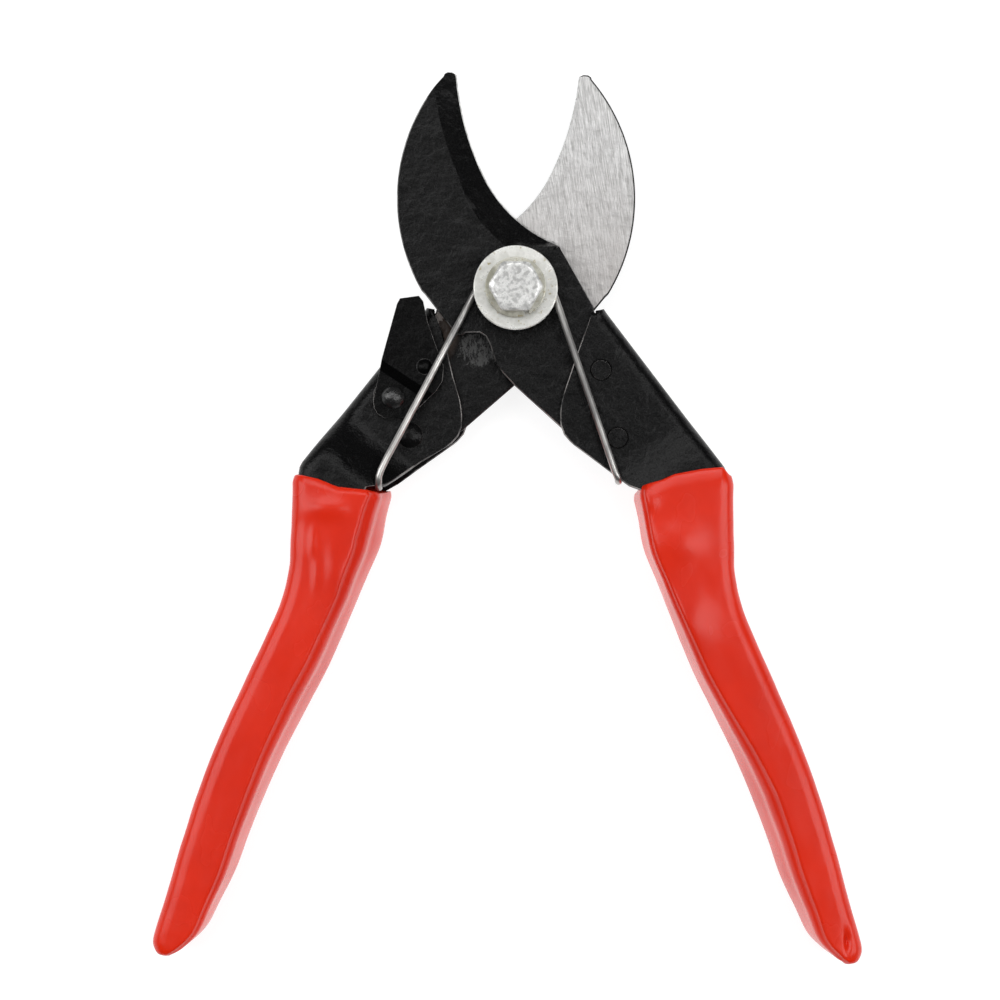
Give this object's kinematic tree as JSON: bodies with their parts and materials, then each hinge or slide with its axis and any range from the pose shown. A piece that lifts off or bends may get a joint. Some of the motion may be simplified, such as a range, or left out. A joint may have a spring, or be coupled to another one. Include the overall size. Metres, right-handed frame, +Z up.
{
  "type": "pruning shears",
  "caption": "Hand pruning shears lying open: curved bypass blades on a bolted pivot, wire return spring, swinging safety latch and red dipped handles.",
  "frame": {"origin": "on the pivot axis, in the plane the shears rest on when they lie flat (the end of the bolt and the backs of both grips)", "axes": "+Y from the pivot towards the blade tips, +X towards the handle riveted to the front blade, +Z up along the pivot axis towards the bolt head"},
  "size_m": [0.149, 0.187, 0.0244],
  "materials": {
    "front_blade": "semi-gloss black paint over a hammered forging, ground bevel painted too",
    "rear_blade": "ground flat face, bright; thin black paint on the sides and back",
    "right_channel": "semi-gloss black paint",
    "left_channel": "semi-gloss black paint",
    "right_grip": "glossy dipped PVC",
    "left_grip": "glossy dipped PVC",
    "right_rivet_upper": "painted over",
    "right_rivet_lower": "painted over",
    "left_rivet_upper": "painted over",
    "left_rivet_lower": "painted over",
    "pivot_bolt": "zinc plated, mottled",
    "pivot_nut": "zinc plated",
    "rear_washer": "zinc plated",
    "spring_collar": "turned steel",
    "return_spring": "drawn spring wire",
    "front_washer": "zinc plated, faintly yellow",
    "lock_washer": "zinc plated",
    "safety_latch": "semi-gloss black paint",
    "latch_rivet": "painted, worn bright on the dome",
    "latch_washer": "plain steel"
  },
  "bodies": {
    "right_half": {"front_blade": "front_blade", "right_channel": "right_channel", "right_grip": "right_grip", "right_rivet_upper": "right_rivet_upper", "right_rivet_lower": "right_rivet_lower", "pivot_bolt": "pivot_bolt", "pivot_nut": "pivot_nut", "rear_washer": "rear_washer", "spring_collar": "spring_collar", "return_spring": "return_spring", "front_washer": "front_washer", "lock_washer": "lock_washer"},
    "left_half": {"rear_blade": "rear_blade", "left_channel": "left_channel", "left_grip": "left_grip", "left_rivet_upper": "left_rivet_upper", "left_rivet_lower": "left_rivet_lower", "latch_rivet": "latch_rivet", "latch_washer": "latch_washer"},
    "latch": {"safety_latch": "safety_latch"}
  },
  "joints": [
    {"name": "blade_pivot", "type": "hinge", "parent": "right_half", "child": "left_half", "pos_m": [0, 0, 0.0082], "axis": [0, 0, 1], "range_deg": [0, 35], "stiffness_Nm_per_rad": 0.45, "deforming": ["return_spring"]},
    {"name": "latch_hinge", "type": "hinge", "parent": "left_half", "child": "latch", "pos_m": [-0.0255, -0.0229, 0.0106], "axis": [0, 0, 1], "range_deg": [-21, 0]}
  ],
  "couplings": [
    {"joint": "latch_hinge", "follows": "blade_pivot", "ratio": -0.6}
  ]
}
